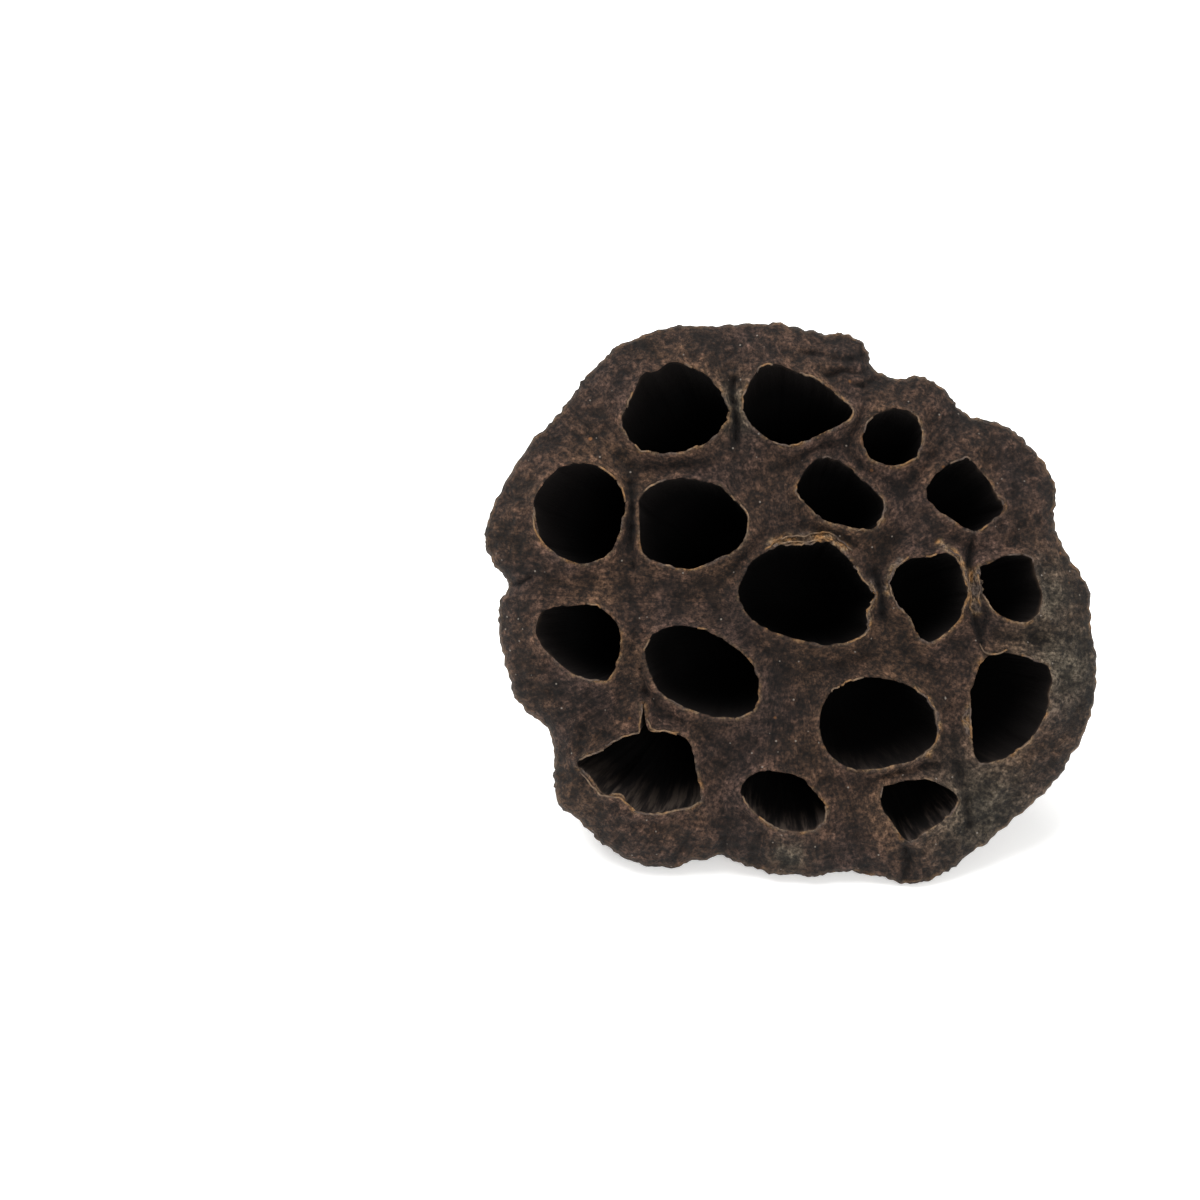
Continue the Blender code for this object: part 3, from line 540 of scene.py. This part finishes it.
def build_strip(bm, marks, surface, line, height):
    """A thin strip of torn skin that stands up along a crooked line, with a ragged top edge."""
    corners = np.array(line)
    along = np.concatenate(([0.0], np.cumsum(np.linalg.norm(np.diff(corners, axis=0), axis=1))))
    count = int(along[-1] / STRIP_STEP) + 1
    path = [np.interp(np.linspace(0.0, along[-1], count), along, corners[:, axis]) for axis in (0, 1)]
    path = np.column_stack(path)
    path += [(0.16 * lumps(x, y, 0.0, 1.1, 4.0), 0.16 * lumps(x, y, 0.0, 1.1, 8.0)) for x, y in path]
    tangent = np.gradient(path, axis=0)
    tangent /= np.linalg.norm(tangent, axis=1)[:, None]
    rows = []
    for k, ((x, y), (along_x, along_y)) in enumerate(zip(path, tangent)):
        side = Vector((-along_y, along_x, 0.0))
        foot = foot_on(surface, x, y)
        ends = min(1.0, 0.25 + 0.3 * min(k, count - 1 - k))
        jags = 0.5 + 0.5 * abs(lumps(x, y, 0.0, 1.3, 9.0)) + 0.35 * lumps(x, y, 0.0, 0.5, 3.0)
        tall = ends * height * jags
        lean = 0.35 * lumps(x, y, 0.0, 2.5, 12.0)
        row = []
        for out, up in ((-0.16, -0.5), (-0.12, 0.5 * tall), (0.0, tall), (0.12, 0.5 * tall), (0.16, -0.5)):
            spot = foot + side * (out + lean * max(up, 0.0)) + Vector((0.0, 0.0, up))
            vert = bm.verts.new(spot)
            vert[marks.grain] = Vector((spot.x, spot.y, 0.15 * spot.z)) * MILLIMETRE
            vert[marks.crest] = min(1.0, max(0.0, 0.35 + 0.6 * up / height))
            row.append(vert)
        rows.append(row)
    faces = [bm.faces.new(rows[0]), bm.faces.new(rows[-1][::-1])]
    for row, after in zip(rows, rows[1:]):
        for k in range(5):
            faces.append(bm.faces.new((row[k], after[k], after[(k + 1) % 5], row[(k + 1) % 5])))
    for face in faces:
        face.material_index = TORN_SKIN


def build_strips(bm, marks, mouths):
    """The strips that the photograph shows, and a few short splinters on every lip."""
    surface = BVHTree.FromBMesh(bm)
    random = np.random.default_rng(29)
    for line, height in STRIPS:
        build_strip(bm, marks, surface, line, height)
    for mouth in mouths:
        middle = mouth.mean(axis=0)
        for _ in range(SPLINTERS_A_MOUTH):
            first, length = random.integers(len(mouth)), random.integers(*SPLINTER_STEPS)
            line = np.roll(mouth, -first, axis=0)[:length]
            line = line + (line - middle) / np.linalg.norm(line - middle, axis=1)[:, None] * 0.05
            build_strip(bm, marks, surface, line, random.uniform(*SPLINTER_HEIGHTS))


def extrude_ring(bm, marks, edges, place, finish):
    """Extrudes a ring of edges once. place gives each new vertex its spot and marks, from its row's start."""
    made = bmesh.ops.extrude_edge_only(bm, edges=edges)["geom"]
    verts = {v for v in made if isinstance(v, bmesh.types.BMVert)}
    for vert in verts:
        start = vert[marks.start].copy()
        spot, depth, lip, sunk, crest, stretch = place(start)
        vert.co = spot
        vert[marks.depth] = depth
        vert[marks.lip] = lip
        vert[marks.sunk] = sunk
        vert[marks.crest] = crest
        vert[marks.grain] = Vector((start.x, start.y, start.z - stretch)) * MILLIMETRE
    for face in made:
        if isinstance(face, bmesh.types.BMFace):
            face.material_index = finish
    return [e for e in made if isinstance(e, bmesh.types.BMEdge) and set(e.verts) <= verts]


def close_ring(bm, marks, edges, centre, finish):
    """Fills a ring of edges with a fan about a centre point."""
    made = bmesh.ops.edgeloop_fill(bm, edges=edges)["faces"]
    fan = bmesh.ops.poke(bm, faces=made)
    middle = fan["verts"][0]
    middle.co = centre
    middle[marks.depth] = 1.0
    middle[marks.grain] = centre * MILLIMETRE
    for face in fan["faces"]:
        face.material_index = finish


def build_socket(bm, marks, edges, points):
    """One empty socket: it leans towards the pod's axis, swells under its lip and narrows to a round end."""
    mouth = closed_curve(points, 2)
    centre = Vector(mouth.mean(axis=0))
    mean_radius = float(np.linalg.norm(mouth - mouth.mean(axis=0), axis=1).mean())
    depth = SOCKET_DEPTH_BASE + SOCKET_DEPTH_PER_RADIUS * mean_radius

    def place(level):
        lean = 1.0 - level * depth / SOCKET_APEX
        rounding = SOCKET_ROUNDING * level
        taper = by_share(SOCKET_TAPER, level)
        strength = min(1.0, level / 0.08) * (1.0 - 0.6 * level)

        def at(corner):
            offset = corner.xy - centre
            radius = offset.length * (1.0 - rounding) + mean_radius * rounding
            radius *= taper
            rib = 0.3 * abs(lumps(corner.x, corner.y, level, 1.6))
            rib += 0.22 * lumps(corner.x, corner.y, 2 * level, 4.0)
            radius -= strength * rib
            middle = centre + offset.normalized() * radius
            down = level * depth
            spot = Vector((*(middle * lean), corner.z * (1.0 - level) - down))
            return spot, level, math.exp(-((down / 0.3) ** 2)), 0.0, 0.5, down / 6.0

        return at

    for ring in range(1, SOCKET_RINGS + 1):
        t = ring / SOCKET_RINGS
        edges = extrude_ring(bm, marks, edges, place(0.975 * t * (0.2 + 0.8 * t)), LINING)
    end = Vector((*(centre * (1.0 - depth / SOCKET_APEX)), -depth))
    close_ring(bm, marks, edges, end, LINING)


def fold_depth(degrees, share):
    """How deep the flank folds in, at this angle and share of the way to the stub."""
    strength = 1.3 * min(1.0, share / 0.22) ** 1.5 * (1.0 - share) ** 0.55
    deep = 0.0
    for angle, depth, width in FOLDS:
        away = (degrees - angle + 180.0) % 360.0 - 180.0
        hollow = 0.75 * math.exp(-((away / width) ** 2))
        slit = 0.4 * math.exp(-abs(away) / (0.35 * width))
        deep += depth * (hollow + slit)
    return deep * strength


def flank_place(share):
    """Where the flank is below a point of the rim, at this share of the way to the stub."""
    taper = by_share(FLANK_TAPER, share)
    down = POD_DEPTH * share
    belly = math.sin(math.pi * share)
    grown = min(1.0, share / 0.05)
    fibre = grown * (0.25 + 0.75 * (1.0 - share))

    def at(corner):
        reach = corner.xy.length
        degrees = math.degrees(math.atan2(corner.y, corner.x))
        radius = STUB_RADIUS + (reach - STUB_RADIUS) * taper
        radius += 1.4 * noise.noise(Vector((corner.x, corner.y, 60.0 * share)) * 0.06) * belly
        folded = fold_depth(degrees, share)
        sway = 0.5 * lumps(degrees / 9.0, down / 14.0, 0.0, 1.0)
        x, y = corner.x + sway, corner.y - sway
        radius -= folded
        furrow = 0.62 * abs(lumps(x, y, down / 9.0, 3.4, 1.0))
        furrow += 0.36 * abs(lumps(x, y, down / 7.0, 1.5, 6.0))
        furrow -= 0.18 * lumps(x, y, down / 5.0, 0.8, 4.0)
        radius -= fibre * furrow
        radius += 0.3 * math.exp(-(((down - 0.9) / 0.7) ** 2)) * (1.0 + lumps(x, y, 0.0, 1.3))
        radius -= 0.35 * math.exp(-(((down - 2.4) / 0.9) ** 2))
        radius = max(radius, STUB_RADIUS * (0.9 + 0.12 * lumps(corner.x, corner.y, 0.0, 9.0)))
        flat = corner.xy.normalized() * radius
        spot = Vector((*flat, corner.z * (1.0 - share) - down))
        # crest is how far out of the furrows the skin stands, for painted highlight and painted shade
        crest = min(1.0, max(0.0, 0.85 - 1.1 * furrow))
        return spot, share, 0.0, min(1.0, folded / 4.0), crest, down / 8.0

    return at


def scar_place(share):
    """The cut stem: a corky collar round a shallow, pitted hollow. share runs from its edge to its middle."""

    def at(corner):
        radius = STUB_RADIUS * (1.0 - share)
        flat = corner.xy.normalized() * radius
        hollow = 0.5 * min(1.0, share / 0.25) + 1.1 * math.exp(-((radius / 1.5) ** 2))
        crumbs = 0.28 * lumps(flat.x, flat.y, 0.0, 1.1) + 0.14 * lumps(flat.x, flat.y, 0.0, 0.5)
        rise = crumbs * min(1.0, share / 0.1) * min(1.0, radius / 0.8)
        spot = Vector((*flat, hollow + rise - POD_DEPTH))
        return spot, 1.0, 0.0, 0.0, 0.5, POD_DEPTH / 8.0

    return at


def build_flank(bm, marks, edges):
    """The fibrous, folded flank from the rim down to the stub, and the scar that closes it."""
    for row in range(1, FLANK_ROWS + 1):
        t = row / FLANK_ROWS
        edges = extrude_ring(bm, marks, edges, flank_place(t * (0.45 + 0.55 * t)), FLANK)
    for share in SCAR_SHARES:
        edges = extrude_ring(bm, marks, edges, scar_place(share), PITH)
    close_ring(bm, marks, edges, Vector((0.0, 0.0, 1.6 - POD_DEPTH)), PITH)


def lie_down(bm):
    """Leans the pod back on its flank and presses flat the three places where it meets the ground."""
    turn = Matrix.Rotation(math.radians(LEAN_DEGREES), 4, "X")
    bmesh.ops.transform(bm, matrix=Matrix.Translation(FACE_CENTRE) @ turn, verts=bm.verts)
    for vert in bm.verts:
        vert.co.z = max(vert.co.z, 0.0)
    bmesh.ops.scale(bm, vec=[MILLIMETRE] * 3, verts=bm.verts)


def build_pod(finishes):
    bm = bmesh.new()
    marks = Marks(bm)
    rim = ragged(closed_curve(RIM, RIM_STEPS), coarse=0.2, fine=0.22, deepest=0.5, seed=3.0)
    mouths = [
        ragged(closed_curve(points, MOUTH_STEPS), coarse=0.18, fine=0.14, deepest=0.04, seed=9.0)
        for points in MOUTHS.values()
    ]
    rim_edges, sockets = build_face(bm, marks, rim, mouths)
    build_strips(bm, marks, mouths)
    for points, edges in sockets:
        build_socket(bm, marks, edges, points)
    build_flank(bm, marks, rim_edges)
    lie_down(bm)
    bmesh.ops.recalc_face_normals(bm, faces=bm.faces)
    mesh = bpy.data.meshes.new("dried_pod")
    bm.to_mesh(mesh)
    bm.free()
    mesh.shade_smooth()
    for finish in finishes:
        mesh.materials.append(finish)
    pod = bpy.data.objects.new("dried_pod", mesh)
    bpy.context.scene.collection.objects.link(pod)
    return pod


def srgb(code):
    """A linear colour from its sRGB hex code."""
    parts = [int(code[k:k + 2], 16) / 255.0 for k in (1, 3, 5)]
    return (*[p / 12.92 if p <= 0.04045 else ((p + 0.055) / 1.055) ** 2.4 for p in parts], 1.0)


def per_metre(millimetres):
    """A pattern's scale, from the size of its lumps in millimetres."""
    return 1000.0 / millimetres


def add(tree, kind, inputs, stops=(), output=0, **settings):
    """Adds a node and gives one of its outputs. inputs holds values, or outputs to be linked. settings are
    the node's properties, and stops the places of a ramp, each with its hex code or its grey."""
    node = tree.nodes.new("ShaderNode" + kind)
    for name, value in settings.items():
        setattr(node, name, value)
    for name, value in inputs.items():
        if isinstance(value, bpy.types.NodeSocket):
            tree.links.new(value, node.inputs[name])
        else:
            node.inputs[name].default_value = value
    if stops:
        elements = node.color_ramp.elements
        while len(elements) < len(stops):
            elements.new(0.5)
        for element, (place, tone) in zip(elements, stops):
            element.position = place
            element.color = srgb(tone) if isinstance(tone, str) else (tone, tone, tone, 1.0)
    return node.outputs[output]


def shaded(tree, colour, factor, stops):
    """The colour, darker or lighter by the grey that the stops give for the factor."""
    shade = add(tree, "ValToRGB", {"Fac": factor}, stops)
    return add(tree, "MixRGB", {"Fac": 1.0, "Color1": colour, "Color2": shade}, blend_type="MULTIPLY")


def start_material(name, roughness, shine):
    material = bpy.data.materials.new(name)
    material.use_nodes = True
    tree = material.node_tree
    shader = tree.nodes["Principled BSDF"]
    shader.inputs["Metallic"].default_value = 0.0
    shader.inputs["IOR"].default_value = 1.45
    shader.inputs["Roughness"].default_value = roughness
    shader.inputs["Specular IOR Level"].default_value = shine
    return material, tree, shader


def coat(tree, shader, colour, height, relief, strength=1.0):
    """Gives the shader its colour, and a fine relief that is this many millimetres high."""
    tree.links.new(colour, shader.inputs["Base Color"])
    bump = add(tree, "Bump", {"Height": height, "Strength": strength, "Distance": relief * MILLIMETRE})
    tree.links.new(bump, shader.inputs["Normal"])


def face_skin():
    """Dried receptacle skin. It has shrunk to a matt, leathery grey-brown hide, with painted highlight on its
    crests and painted shade, nearly black, in its wrinkles, and bare fibre showing tan where the lips have
    torn."""
    material, tree, shader = start_material("dried receptacle skin", 0.84, 0.3)
    grain = add(tree, "Attribute", {}, output="Vector", attribute_name="grain")
    lip = add(tree, "Attribute", {}, output="Fac", attribute_name="lip")
    sunk = add(tree, "Attribute", {}, output="Fac", attribute_name="sunk")
    crest = add(tree, "Attribute", {}, output="Fac", attribute_name="crest")
    bloom = add(tree, "Attribute", {}, output="Fac", attribute_name="bloom")
    tones = add(tree, "TexNoise", {"Vector": grain, "Scale": per_metre(12.0), "Detail": 3.0})
    base = add(tree, "ValToRGB", {"Fac": tones}, ((0.36, "#372923"), (0.5, "#392920"), (0.64, "#3d2c20")))
    base = add(tree, "MixRGB", {"Fac": bloom, "Color1": base, "Color2": srgb("#433c32")})
    # the face is darker towards its middle and paler towards its rim
    from_middle = add(tree, "VectorMath", {0: grain}, output="Value", operation="LENGTH")
    outer_face = {"From Min": 8.0 * MILLIMETRE, "From Max": MEAN_RADIUS * MILLIMETRE}
    radial_tone = add(tree, "MapRange", {"Value": from_middle, **outer_face, "To Min": 0.76, "To Max": 1.2})
    base = add(tree, "MixRGB", {"Fac": 1.0, "Color1": base, "Color2": radial_tone}, blend_type="MULTIPLY")
    hide = add(tree, "TexNoise", {"Vector": grain, "Scale": per_metre(0.6), "Detail": 5.0, "Roughness": 0.72})
    base = shaded(tree, base, hide, ((0.4, 0.34), (0.5, 0.95), (0.6, 1.85)))
    pimples = add(tree, "TexVoronoi", {"Vector": grain, "Scale": per_metre(0.7)})
    base = shaded(tree, base, pimples, ((0.1, 1.2), (0.6, 0.72)))
    # short creases run in from the rim, so this pattern is drawn out along the radius
    outward = add(tree, "VectorMath", {0: grain}, operation="NORMALIZE")
    around = add(tree, "VectorMath", {0: outward, "Scale": MEAN_RADIUS * MILLIMETRE}, operation="SCALE")
    along = add(tree, "Math", {0: from_middle, 1: 0.3}, operation="MULTIPLY")
    drawn = add(tree, "VectorMath", {0: around, 1: add(tree, "CombineXYZ", {"Z": along})})
    creases = {"Vector": drawn, "Scale": per_metre(0.7), "Detail": 4.0, "Roughness": 0.6}
    base = shaded(tree, base, add(tree, "TexNoise", creases), ((0.38, 0.6), (0.5, 1.0), (0.62, 1.3)))
    blotches = {"Vector": grain, "Scale": per_metre(1.9), "Detail": 4.0, "Roughness": 0.6}
    base = shaded(tree, base, add(tree, "TexNoise", blotches), ((0.4, 0.55), (0.5, 0.98), (0.6, 1.5)))
    # painted highlight on the crests and round the lips, painted shade in the wrinkles
    base = shaded(tree, base, crest, ((0.08, 0.4), (0.5, 0.98), (0.92, 1.6)))
    # small round dots, one to a cell of this spacing, on the share of the cells above the rarity: the pale
    # grey ones are painted glints of light, the orange ones specks of the skin itself
    for spacing, reach, rarity, colour in ((1.7, 0.11, 0.55, "#857b71"), (4.2, 0.09, 0.7, "#7c5230")):
        away = add(tree, "TexVoronoi", {"Vector": grain, "Scale": per_metre(spacing)})
        spot = add(tree, "ValToRGB", {"Fac": away}, ((0.5 * reach, 1.0), (reach, 0.0)))
        spot = shaded(tree, spot, away.node.outputs["Color"], ((rarity, 0.0), (rarity + 0.05, 1.0)))
        base = add(tree, "MixRGB", {"Fac": spot, "Color1": base, "Color2": srgb(colour)})
    # painted shade, nearly black down in the creases and cracks
    dark = add(tree, "Math", {0: sunk, 1: 0.85}, operation="MULTIPLY")
    base = add(tree, "MixRGB", {"Fac": dark, "Color1": base, "Color2": srgb("#0f0c0b")})
    # bare fibre shows in patches of the worn lips, and as painted highlight on their sides that face the
    # light
    tints = add(tree, "TexNoise", {"Vector": grain, "Scale": per_metre(2.6), "Detail": 3.0})
    fibre = add(tree, "ValToRGB", {"Fac": tints}, ((0.4, "#574b43"), (0.5, "#7b654d"), (0.62, "#8f6840")))
    frays = {"Vector": grain, "Scale": per_metre(0.5), "Detail": 4.0, "Roughness": 0.7}
    fibre = shaded(tree, fibre, add(tree, "TexNoise", frays), ((0.4, 0.4), (0.5, 1.0), (0.6, 1.7)))
    patches = {"Vector": grain, "Scale": per_metre(1.8), "Detail": 4.0, "Roughness": 0.65}
    worn = add(tree, "ValToRGB", {"Fac": add(tree, "TexNoise", patches)}, ((0.43, 0.12), (0.53, 1.0)))
    bare = add(tree, "MixRGB", {"Fac": 1.0, "Color1": worn, "Color2": lip}, blend_type="MULTIPLY")
    base = add(tree, "MixRGB", {"Fac": bare, "Color1": base, "Color2": fibre})
    height = add(tree, "Math", {0: pimples, 1: -0.35, 2: hide}, operation="MULTIPLY_ADD")
    coat(tree, shader, base, height, 0.7)
    return material


def torn_skin():
    """Torn receptacle skin. Where it has split, its papery inner fibre shows, tan on the ragged top edges."""
    material, tree, shader = start_material("torn receptacle skin", 0.85, 0.3)
    grain = add(tree, "Attribute", {}, output="Vector", attribute_name="grain")
    crest = add(tree, "Attribute", {}, output="Fac", attribute_name="crest")
    tints = add(tree, "TexNoise", {"Vector": grain, "Scale": per_metre(3.0), "Detail": 2.0})
    pale = add(tree, "ValToRGB", {"Fac": tints}, ((0.4, "#594b42"), (0.5, "#7c6650"), (0.62, "#8c6842")))
    base = add(tree, "MixRGB", {"Fac": crest, "Color1": srgb("#2a211c"), "Color2": pale})
    threads = {"Vector": grain, "Scale": per_metre(0.6), "Detail": 4.0, "Roughness": 0.65}
    fibre = add(tree, "TexNoise", threads)
    base = shaded(tree, base, fibre, ((0.35, 0.6), (0.5, 1.0), (0.66, 1.4)))
    coat(tree, shader, base, fibre, 0.2, strength=0.8)
    return material


def socket_lining():
    """Dried socket lining. The empty sockets are lined with thin, dark tissue, ribbed down its length, with
    painted shade deeper in and painted light on the linings of the lowest sockets.
    """
    material, tree, shader = start_material("dried socket lining", 0.8, 0.1)
    grain = add(tree, "Attribute", {}, output="Vector", attribute_name="grain")
    lip = add(tree, "Attribute", {}, output="Fac", attribute_name="lip")
    depth = add(tree, "Attribute", {}, output="Fac", attribute_name="depth")
    ribs = add(tree, "TexNoise", {"Vector": grain, "Scale": per_metre(0.9), "Detail": 4.0, "Roughness": 0.6})
    pale = add(tree, "ValToRGB", {"Fac": ribs}, ((0.4, "#0c0a09"), (0.5, "#1c1715"), (0.62, "#3b332d")))
    # painted light: only the linings of the sockets along the lower edge of the face are lit, so that their
    # ribs show
    across = add(tree, "SeparateXYZ", {"Vector": grain}, output="Y")
    lit_sockets_band = {"From Min": -22.0 * MILLIMETRE, "From Max": -30.0 * MILLIMETRE}
    low = add(tree, "MapRange", {"Value": across, **lit_sockets_band, "To Min": 0.0, "To Max": 1.0})
    base = add(tree, "MixRGB", {"Fac": low, "Color1": srgb("#0e0b0a"), "Color2": pale})
    # painted shade, darker deeper down the socket
    dark = add(tree, "ValToRGB", {"Fac": depth}, ((0.02, 0.0), (0.4, 0.95)))
    base = add(tree, "MixRGB", {"Fac": dark, "Color1": base, "Color2": srgb("#040303")})
    patches = add(tree, "TexNoise", {"Vector": grain, "Scale": per_metre(3.2), "Detail": 2.0})
    worn = add(tree, "ValToRGB", {"Fac": patches}, ((0.45, 0.1), (0.62, 0.9)))
    edge = add(tree, "Math", {0: lip, 1: worn}, operation="MULTIPLY")
    base = add(tree, "MixRGB", {"Fac": edge, "Color1": base, "Color2": srgb("#5c4b3e")})
    coat(tree, shader, base, ribs, 0.4, strength=0.7)
    return material


def flank_skin():
    """Fibrous flank skin. Its long fibres run from the rim to the stem, grey-brown with painted highlight on
    the crests and painted shade, nearly black, down in the folds, with bare orange-tan fibre near the stem."""
    material, tree, shader = start_material("dried fibrous flank skin", 0.84, 0.3)
    grain = add(tree, "Attribute", {}, output="Vector", attribute_name="grain")
    sunk = add(tree, "Attribute", {}, output="Fac", attribute_name="sunk")
    share = add(tree, "Attribute", {}, output="Fac", attribute_name="depth")
    crest = add(tree, "Attribute", {}, output="Fac", attribute_name="crest")
    bands = add(tree, "TexNoise", {"Vector": grain, "Scale": per_metre(5.0), "Detail": 3.0})
    base = add(tree, "ValToRGB", {"Fac": bands}, ((0.35, "#322721"), (0.5, "#3c2f25"), (0.66, "#483424")))
    coarse = {"Vector": grain, "Scale": per_metre(0.7), "Detail": 5.0, "Roughness": 0.68}
    fibres = add(tree, "TexNoise", coarse)
    base = shaded(tree, base, fibres, ((0.36, 0.4), (0.5, 0.95), (0.64, 1.7)))
    fine = {"Vector": grain, "Scale": per_metre(0.28), "Detail": 3.0, "Roughness": 0.6}
    hairs = add(tree, "TexNoise", fine)
    base = shaded(tree, base, hairs, ((0.38, 0.5), (0.5, 1.0), (0.62, 1.6)))
    # painted highlight on the fibres' crests, painted shade in the furrows
    base = shaded(tree, base, crest, ((0.05, 0.4), (0.5, 0.95), (0.9, 1.45)))
    # painted shade in thin creases
    creases = add(tree, "TexNoise", {"Vector": grain, "Scale": per_metre(1.3), "Detail": 2.0})
    base = shaded(tree, base, creases, ((0.34, 0.3), (0.44, 1.0)))
    stains = add(tree, "TexNoise", {"Vector": grain, "Scale": per_metre(2.1), "Detail": 3.0})
    rust = add(tree, "ValToRGB", {"Fac": stains}, ((0.6, 0.0), (0.7, 0.3)))
    base = add(tree, "MixRGB", {"Fac": rust, "Color1": base, "Color2": srgb("#523422")})
    # painted shade, nearly black down in the folds
    deep = add(tree, "ValToRGB", {"Fac": sunk}, ((0.28, 0.0), (0.7, 0.93)))
    base = add(tree, "MixRGB", {"Fac": deep, "Color1": base, "Color2": srgb("#130f0d")})
    near_stem = add(tree, "ValToRGB", {"Fac": share}, ((0.8, 0.0), (0.9, 0.9), (0.985, 0.3)))
    patches = add(tree, "TexNoise", {"Vector": grain, "Scale": per_metre(7.0), "Detail": 2.0})
    bare = add(tree, "ValToRGB", {"Fac": patches}, ((0.46, 0.0), (0.6, 1.0)))
    tan = add(tree, "Math", {0: near_stem, 1: bare}, operation="MULTIPLY")
    bright = add(tree, "ValToRGB", {"Fac": fibres}, ((0.4, "#3a2415"), (0.6, "#a8753c")))
    base = add(tree, "MixRGB", {"Fac": tan, "Color1": base, "Color2": bright})
    height = add(tree, "Math", {0: hairs, 1: 0.4, 2: fibres}, operation="MULTIPLY_ADD")
    coat(tree, shader, base, height, 0.5)
    return material


def stem_pith():
    """Cut stem pith. Dry, corky tissue, pale tan and full of small dark pores."""
    material, tree, shader = start_material("dry stem pith", 0.95, 0.2)
    place = add(tree, "TexCoord", {}, output="Object")
    crumb = add(tree, "TexNoise", {"Vector": place, "Scale": per_metre(0.8), "Detail": 5.0, "Roughness": 0.7})
    base = add(tree, "ValToRGB", {"Fac": crumb}, ((0.36, "#5d432c"), (0.5, "#94724c"), (0.66, "#c19c70")))
    pores = add(tree, "TexVoronoi", {"Vector": place, "Scale": per_metre(0.75)})
    holes = add(tree, "ValToRGB", {"Fac": pores}, ((0.1, 0.85), (0.3, 0.0)))
    base = add(tree, "MixRGB", {"Fac": holes, "Color1": base, "Color2": srgb("#3a281a")})
    coat(tree, shader, base, crumb, 0.5)
    return material


def white_sweep():
    """An opal acrylic panel, cast smooth and matt. It is lit a little from below, so shadows stay faint."""
    bm = bmesh.new()
    bmesh.ops.create_grid(bm, x_segments=1, y_segments=1, size=FLOOR_REACH)
    bmesh.ops.translate(bm, vec=(0.0, 0.0, -FLOOR_GAP), verts=bm.verts)
    mesh = bpy.data.meshes.new("floor")
    bm.to_mesh(mesh)
    bm.free()
    material, _, shader = start_material("lit opal acrylic", 0.95, 0.5)
    shader.inputs["Base Color"].default_value = srgb("#fbfbfa")
    shader.inputs["Emission Color"].default_value = srgb("#fbfbfa")
    shader.inputs["Emission Strength"].default_value = FLOOR_GLOW
    mesh.materials.append(material)
    floor = bpy.data.objects.new("floor", mesh)
    bpy.context.scene.collection.objects.link(floor)


def studio():
    """Soft white light from all round, a broad lamp above and a little behind, and a weak one in front."""
    world = bpy.data.worlds.new("studio")
    world.use_nodes = True
    background = world.node_tree.nodes["Background"]
    background.inputs["Color"].default_value = (1.0, 1.0, 1.0, 1.0)
    background.inputs["Strength"].default_value = SKY_STRENGTH
    bpy.context.scene.world = world
    for name, place, size, power, aim in LAMPS:
        data = bpy.data.lights.new(name, "AREA")
        data.shape = "DISK"
        data.size = size
        data.energy = power
        lamp = bpy.data.objects.new(name, data)
        lamp.location = place
        lamp.rotation_euler = (Vector(aim) - Vector(place)).to_track_quat("-Z", "Y").to_euler()
        bpy.context.scene.collection.objects.link(lamp)
    bpy.context.scene.view_settings.view_transform = "Standard"


def camera():
    """The photograph's view, square on to the seed face."""
    elevation = math.radians(90.0 - LEAN_DEGREES)
    right = Vector((1.0, 0.0, 0.0))
    up = Vector((0.0, math.sin(elevation), math.cos(elevation)))
    back = Vector((0.0, -math.cos(elevation), math.sin(elevation)))
    pixel = PIXEL * MILLIMETRE
    aim = Vector(FACE_CENTRE) * MILLIMETRE - right * pixel * FACE_RIGHT_OF_MIDDLE
    aim += up * pixel * FACE_BELOW_MIDDLE
    data = bpy.data.cameras.new("camera")
    data.sensor_width = SENSOR_WIDTH
    data.lens = LENS
    shot = bpy.data.objects.new("camera", data)
    shot.location = aim + back * CAMERA_DISTANCE
    shot.rotation_euler = (-back).to_track_quat("-Z", "Y").to_euler()
    bpy.context.scene.collection.objects.link(shot)
    bpy.context.scene.camera = shot


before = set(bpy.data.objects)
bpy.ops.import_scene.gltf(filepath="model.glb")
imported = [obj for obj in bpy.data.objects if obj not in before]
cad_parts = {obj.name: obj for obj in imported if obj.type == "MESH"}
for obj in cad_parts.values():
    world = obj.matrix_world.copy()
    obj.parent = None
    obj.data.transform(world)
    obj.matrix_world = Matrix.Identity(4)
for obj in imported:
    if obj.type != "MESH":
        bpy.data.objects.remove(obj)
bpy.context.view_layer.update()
camera()
studio()
white_sweep()
pod = build_pod([face_skin(), socket_lining(), flank_skin(), stem_pith(), torn_skin()])
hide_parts("lotus_pod")
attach(pod, "root")
